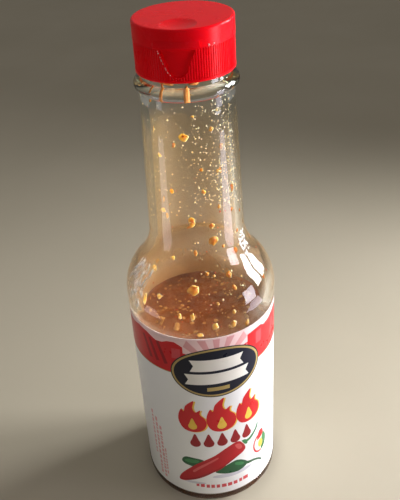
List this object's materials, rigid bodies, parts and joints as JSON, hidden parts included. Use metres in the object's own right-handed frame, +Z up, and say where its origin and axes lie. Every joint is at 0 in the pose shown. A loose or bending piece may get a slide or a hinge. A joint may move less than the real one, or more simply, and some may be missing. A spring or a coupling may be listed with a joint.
{
  "type": "hot sauce bottle",
  "caption": "Slim round glass bottle of hot sauce, partly filled, with a wrap label, a ribbed red cap and a hinged flip-top lid.",
  "frame": {"origin": "centre of the base, on the surface that the bottle stands on", "axes": "+Z up along the bottle's axis, the label's front faces -Y"},
  "size_m": [0.06, 0.06, 0.2113],
  "materials": {
    "glass": "clear polished, faint green-grey tint",
    "sauce": "thick wet red-brown sauce with pulp and seeds",
    "label": "satin coated paper, printed",
    "cap": "red moulded plastic, half gloss",
    "lid": "red moulded plastic, half gloss"
  },
  "bodies": {
    "filled_bottle": {"bottle": "glass", "sauce": "sauce", "label": "label", "screw_cap": "cap", "hinge_web": "lid"},
    "lid": {"flip_lid": "lid"}
  },
  "joints": [
    {"name": "lid_hinge", "type": "hinge", "parent": "filled_bottle", "child": "lid", "pos_m": [0.0052, 0.01553, 0.20515], "axis": [-0.9483, 0.3173, 0], "range_deg": [0, 135], "deforming": ["hinge_web"]}
  ]
}
